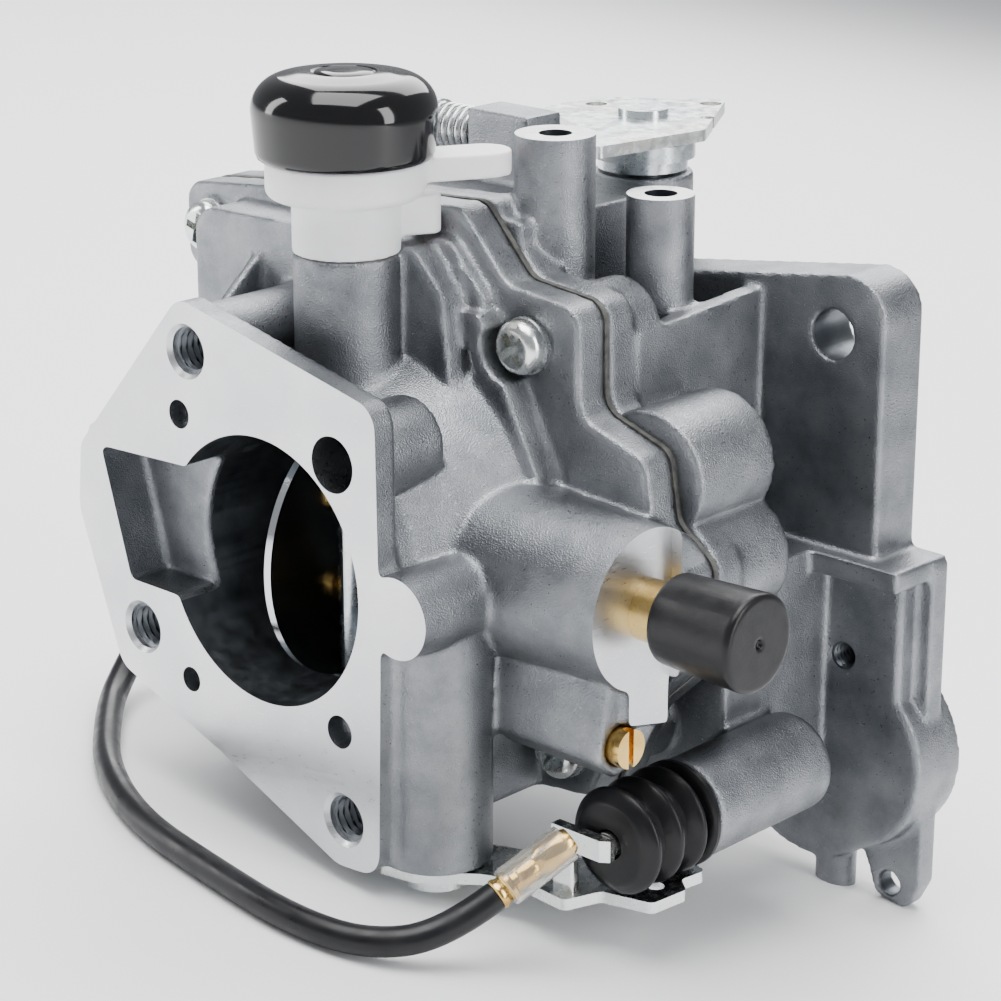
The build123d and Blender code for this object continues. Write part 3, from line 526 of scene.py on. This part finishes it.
def make_air_horn():
    shaft_low, shaft_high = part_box("choke_shaft")
    choke_y = (shaft_low.y + shaft_high.y) / 2
    piece = softened("air_horn_casting", "air_horn", VOXEL, 9, [
        (1, 0.0, -FACE_SHIFT), (0, FUEL_FACE_X, FACE_SHIFT),
    ])
    set_material(piece, CAST)
    tools = [
        box_tool((-FAR, -30 * MM, -FAR), (FAR, 0.0, FAR), MACHINED),
        box_tool((FUEL_FACE_X, 5 * MM, -21 * MM), (FUEL_FACE_X + 30 * MM, 26 * MM, 12 * MM), MACHINED),
        cylinder_tool((0, -5 * MM, 0), (0, 1, 0), JOINT_Y + 10 * MM, CHOKE_BORE_R, BORE_PAINTED_SHADE, 160),
        cylinder_tool((0, choke_y, -40 * MM), (0, 0, 1), 90 * MM, CHOKE_SHAFT_HOLE_R, BORE_PAINTED_SHADE, 64),
    ]
    for name in AIR_CLEANER_THREADS:
        x, _, z = mounts[name]["pos_m"]
        tap = lathe("tool", (x, -1 * MM, z), (0, 1, 0), TAP_PROFILE, 64)
        set_material(tap, MACHINED)
        tools.append(tap)
    cut(piece, tools)
    shade(piece, 38)
    finish_piece(piece, "air_horn")
    for name in AIR_CLEANER_THREADS:
        mount = mounts[name]
        mouth = Vector((mount["pos_m"][0], THREAD_MOUTH_Y, mount["pos_m"][2]))
        length = mount["dims"]["length_mm"] * MM - 0.2 * MM
        minor = mount["dims"]["r_mm"] * MM
        thread_liner(name.replace("air_cleaner_", "") + "_liner", mouth, mount["axis"], length,
                     minor, M6_MAJOR, M6_PITCH, "air_horn")


def main_body_tools(end_y):
    """Solids that machine the rear casting: its faces first, then its bores and holes."""
    tools = [box_tool((-FAR, end_y, -FAR), (FAR, end_y + 30 * MM, FAR), MACHINED)]
    for name, top in BRACKET_BOSS_TOPS.items():
        x, y, _ = mounts[name]["pos_m"]
        low = (x - BRACKET_BOSS_REACH, y - BRACKET_BOSS_REACH, top)
        high = (x + BRACKET_BOSS_REACH, y + BRACKET_BOSS_REACH, top + 10 * MM)
        tools.append(box_tool(low, high, MACHINED))
    tools.append(cylinder_tool((0, 60 * MM, 0), (0, 1, 0), 30 * MM, MAIN_BORE_R, BORE_PAINTED_SHADE, 128))
    tools.append(cylinder_tool((0, REGISTER_Y, 0), (0, 1, 0), 10 * MM, REGISTER_R, MACHINED, 128))
    for name, back in LOBE_HOLE_BACKS.items():
        radius = mounts[name]["dims"]["r_mm"] * MM
        start = Vector(mounts[name]["pos_m"]) - Vector((0, back, 0))
        tools.append(cylinder_tool(start, (0, 1, 0), back + 6 * MM, radius, BORE_PAINTED_SHADE, 64))
    for name, top in BRACKET_BOSS_TOPS.items():
        depth = mounts[name]["dims"]["length_mm"] * MM
        x, y, _ = mounts[name]["pos_m"]
        start = (x, y, top - depth + 1 * MM)
        tools.append(cylinder_tool(start, (0, 0, 1), depth + 4 * MM, BRACKET_HOLE_R, BORE_PAINTED_SHADE, 48))
    tools.append(cylinder_tool(DUCT_HOLE, (0, 1, 0), 7 * MM, 1.95 * MM, BORE_PAINTED_SHADE, 48))
    tools.append(cylinder_tool(PUMP_BORE, (0, 1, 0), PUMP_BORE_LENGTH, PUMP_BORE_R, BORE_PAINTED_SHADE, 96))
    return tools


def make_main_body():
    end_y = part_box("main_body")[1].y
    push = [(1, end_y, FACE_SHIFT)]
    push += [(2, top, FACE_SHIFT) for top in BRACKET_BOSS_TOPS.values()]
    piece = softened("main_body_casting", "main_body", VOXEL, 9, push)
    set_material(piece, CAST)
    cut(piece, main_body_tools(end_y))
    shade(piece, 38)
    finish_piece(piece, "main_body")
    mouth = DUCT_HOLE + Vector((0, 1.3 * MM, 0))
    thread_liner("duct_thread_liner", mouth, (0, -1, 0), 4.4 * MM,
                 DUCT_HOLE_MINOR, DUCT_HOLE_MAJOR, DUCT_HOLE_PITCH, "main_body")


# ---------------------------------------------------------------- choke cap, boot and screws
def make_choke_cap():
    low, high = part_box("choke_cap")
    centre = (low + high) / 2
    base = Vector((centre.x, centre.y, low.z))
    height, radius = high.z - low.z, (high.x - low.x) / 2
    profile = [(0.0, 0.0), (0.0, radius - 1.3 * MM), (0.25 * MM, radius - 0.7 * MM),
               (0.9 * MM, radius - 0.42 * MM)]
    for k in range(9):
        t = k / 8
        profile.append((height * (0.1 + 0.46 * t), radius - 0.4 * MM * (1 - t)))
    for k in range(1, 15):
        a = math.radians(90 * k / 14)
        profile.append((height * (0.56 + 0.40 * math.sin(a)), radius * (0.62 + 0.38 * math.cos(a))))
    profile += [(height * 0.985, radius * 0.50), (height * 0.99, radius * 0.36),
                (height * 0.972, radius * 0.345), (height * 0.972, radius * 0.325),
                (height * 0.992, radius * 0.31), (height * 0.998, radius * 0.16), (height, 0.0)]
    cap = lathe("choke_knob_cap", base, (0, 0, 1), profile, 128)
    set_material(cap, FINISHES["black_gloss"])
    shade(cap, 50)
    finish_piece(cap, "choke_cap")


def make_pump_boot():
    low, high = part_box("pump_boot")
    centre = (low + high) / 2
    length, radius = high.y - low.y, (high.x - low.x) / 2
    valley, rib_pitch, lip = radius * 0.765, 4.3 * MM, 1.2 * MM
    profile = [(0.0, 2.0 * MM), (0.0, radius * 0.60), (0.15 * MM, radius * 0.72)]
    steps = 16
    for rib in range(3):
        for k in range(steps):
            t = k / steps
            swell = (0.5 - 0.5 * math.cos(2 * math.pi * min(1.0, t / 0.72))) ** 0.6
            profile.append((0.2 * MM + rib_pitch * (rib + t), valley + (radius - valley) * swell))
    profile += [(length - lip - 0.15 * MM, valley), (length - lip, radius * 0.95),
                (length - lip * 0.7, radius),
                (length - lip * 0.25, radius), (length, radius * 0.96), (length, 3.9 * MM),
                (1.6 * MM, 3.9 * MM), (1.4 * MM, 2.0 * MM)]
    boot = lathe("pump_bellows", (centre.x, low.y, centre.z), (0, 1, 0), profile, 96)
    bm = bmesh.new()
    bm.from_mesh(boot.data)
    caps = [f for f in bm.faces if len(f.verts) > 4]
    bmesh.ops.delete(bm, geom=caps, context="FACES_ONLY")
    boundary = [e for e in bm.edges if e.is_boundary]
    bmesh.ops.bridge_loops(bm, edges=boundary)
    bmesh.ops.recalc_face_normals(bm, faces=bm.faces)
    bm.to_mesh(boot.data)
    bm.free()
    set_material(boot, FINISHES["black_rubber"])
    shade(boot, 40)
    finish_piece(boot, "pump_boot")
    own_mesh(boot)


SCREW_HEAD_R = 3.5 * MM
SCREW_SHANK_R = 1.95 * MM
SCREW_SHANK_LENGTH = 13 * MM
SCREW_SPACING = 9 * MM


def screw_places(head_end_y):
    """Centres (x, z) of the screws, from the vertices of their heads."""
    clusters = []
    for vert in nodes["body_screws"].data.vertices:
        if vert.co.y < head_end_y:
            near = [c for c in clusters if (c[0] - vert.co).length < SCREW_SPACING]
            if near:
                near[0].append(vert.co.copy())
            else:
                clusters.append([vert.co.copy()])
    places = []
    for members in clusters:
        x = (min(v.x for v in members) + max(v.x for v in members)) / 2
        z = (min(v.z for v in members) + max(v.z for v in members)) / 2
        places.append((x, z))
    return places


def cross_recess(place, turn):
    """Two crossed bars that cut the driver recess; their cut faces take the darker spring-steel colour,
    painted shade in the recess.
    """
    bars = []
    for quarter in (0, math.pi / 2):
        bar = box_tool((-2.1 * MM, -0.2 * MM, -0.5 * MM), (2.1 * MM, 1.7 * MM, 0.5 * MM),
                       FINISHES["spring_steel"])
        spin = Matrix.Rotation(turn + quarter, 4, "Y")
        bar.data.transform(Matrix.Translation(place) @ spin)
        bars.append(bar)
    return bars


def make_body_screws():
    """Pan heads with a cross recess, joined as one piece."""
    head_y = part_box("body_screws")[0].y
    head_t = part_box("lock_washers")[0].y - head_y
    profile = [(0.0, 0.0)]
    for k in range(1, 9):
        a = math.radians(90 * k / 8)
        profile.append((head_t * 0.62 * (1 - math.cos(a)), SCREW_HEAD_R * (0.55 + 0.45 * math.sin(a))))
    profile += [(head_t * 0.92, SCREW_HEAD_R), (head_t, SCREW_HEAD_R * 0.96), (head_t, SCREW_SHANK_R),
                (head_t + SCREW_SHANK_LENGTH, SCREW_SHANK_R)]
    joined = bmesh.new()
    for index, (x, z) in enumerate(screw_places(head_y + head_t * 1.5)):
        place = (x, head_y, z)
        head = lathe(f"screw_{index}", place, (0, 1, 0), profile, 64)
        set_material(head, FINISHES["zinc_steel"])
        cut(head, cross_recess(place, math.radians(25 + 40 * index)))
        joined.from_mesh(head.data)
        bpy.data.objects.remove(head)
    mesh = bpy.data.meshes.new("joint_screws")
    joined.to_mesh(mesh)
    joined.free()
    screws = link_mesh("joint_screws", mesh)
    # The second slot colours the recess faces darker than the zinc head: painted shade.
    set_material(screws, FINISHES["zinc_steel"], FINISHES["spring_steel"])
    shade(screws, 32)
    finish_piece(screws, "body_screws")


def make_moulded(node, voxel, passes, material, name):
    piece = softened(name, node, voxel, passes)
    set_material(piece, material)
    shade(piece, 60)
    return finish_piece(piece, node)


# ---------------------------------------------------------------- lead
LEAD_ROUTE = [Vector(p) * MM for p in (
    (-49.0, 39.4, -20.0), (-49.0, 31.5, -20.0), (-49.6, 23.4, -25.4), (-46.2, 13.2, -32.2),
    (-37.3, 4.4, -32.1), (-24.3, -6.6, -31.7), (-8.3, -14.4, -31.9), (8.0, -16.2, -33.0),
    (22.6, -17.0, -34.2), (32.6, -14.0, -35.3), (37.9, -6.4, -35.0), (40.4, 0.0, -31.2),
)]
LEAD_R = 1.875 * MM


def make_terminal():
    """Crimped bullet on the end of the lead."""
    end = LEAD_ROUTE[-1]
    way = (end - LEAD_ROUTE[-2]).normalized()
    points = [
        (0.0, 1.2), (0.0, 1.7), (0.3, 1.95), (0.7, 1.95), (1.0, 1.75), (1.5, 1.7), (1.8, 1.92), (2.3, 1.92),
        (2.6, 1.45), (3.4, 1.35), (3.6, 1.5), (5.6, 1.5), (6.1, 1.3), (6.6, 1.6), (7.2, 1.88), (9.8, 1.88),
        (10.9, 1.75), (11.4, 1.5), (11.4, 1.15), (8.0, 1.1), (8.0, 0.0),
    ]
    terminal = lathe("bullet_terminal", end, way, [(a * MM, r * MM) for a, r in points], 64)
    set_material(terminal, FINISHES["brass"])
    shade(terminal, 35)
    return finish_piece(terminal, "lead_terminal")


def make_lead():
    data = bpy.data.curves.new("lead_wire", "CURVE")
    data.dimensions = "3D"
    data.bevel_depth = LEAD_R
    data.bevel_resolution = 10
    data.resolution_u = 16
    data.use_fill_caps = True
    spline = data.splines.new("NURBS")
    spline.points.add(len(LEAD_ROUTE) - 1)
    for point, place in zip(spline.points, LEAD_ROUTE):
        point.co = (*place, 1)
    spline.order_u = 3
    spline.use_endpoint_u = True
    data.materials.append(FINISHES["lead_jacket"])
    lead = bpy.data.objects.new("lead_wire", data)
    bpy.context.scene.collection.objects.link(lead)
    finish_piece(lead, "lead")
    terminal = make_terminal()


# ---------------------------------------------------------------- build
for node_name, node in nodes.items():
    set_material(node, FINISHES[slot_of_node[node_name]])

add_camera()
make_lead()
add_floor(pale_floor())
add_lights()
make_air_horn()
make_main_body()
make_choke_cap()
make_pump_boot()
make_body_screws()
make_moulded("choke_lever", 0.00025, 5, FINISHES["white_plastic"], "choke_lever_moulding")
make_moulded("choke_spring_housing", 0.00025, 5, FINISHES["white_plastic"], "spring_housing_moulding")
make_moulded("fuel_inlet_cap", 0.00022, 4, FINISHES["black_rubber"], "inlet_rubber_cap")
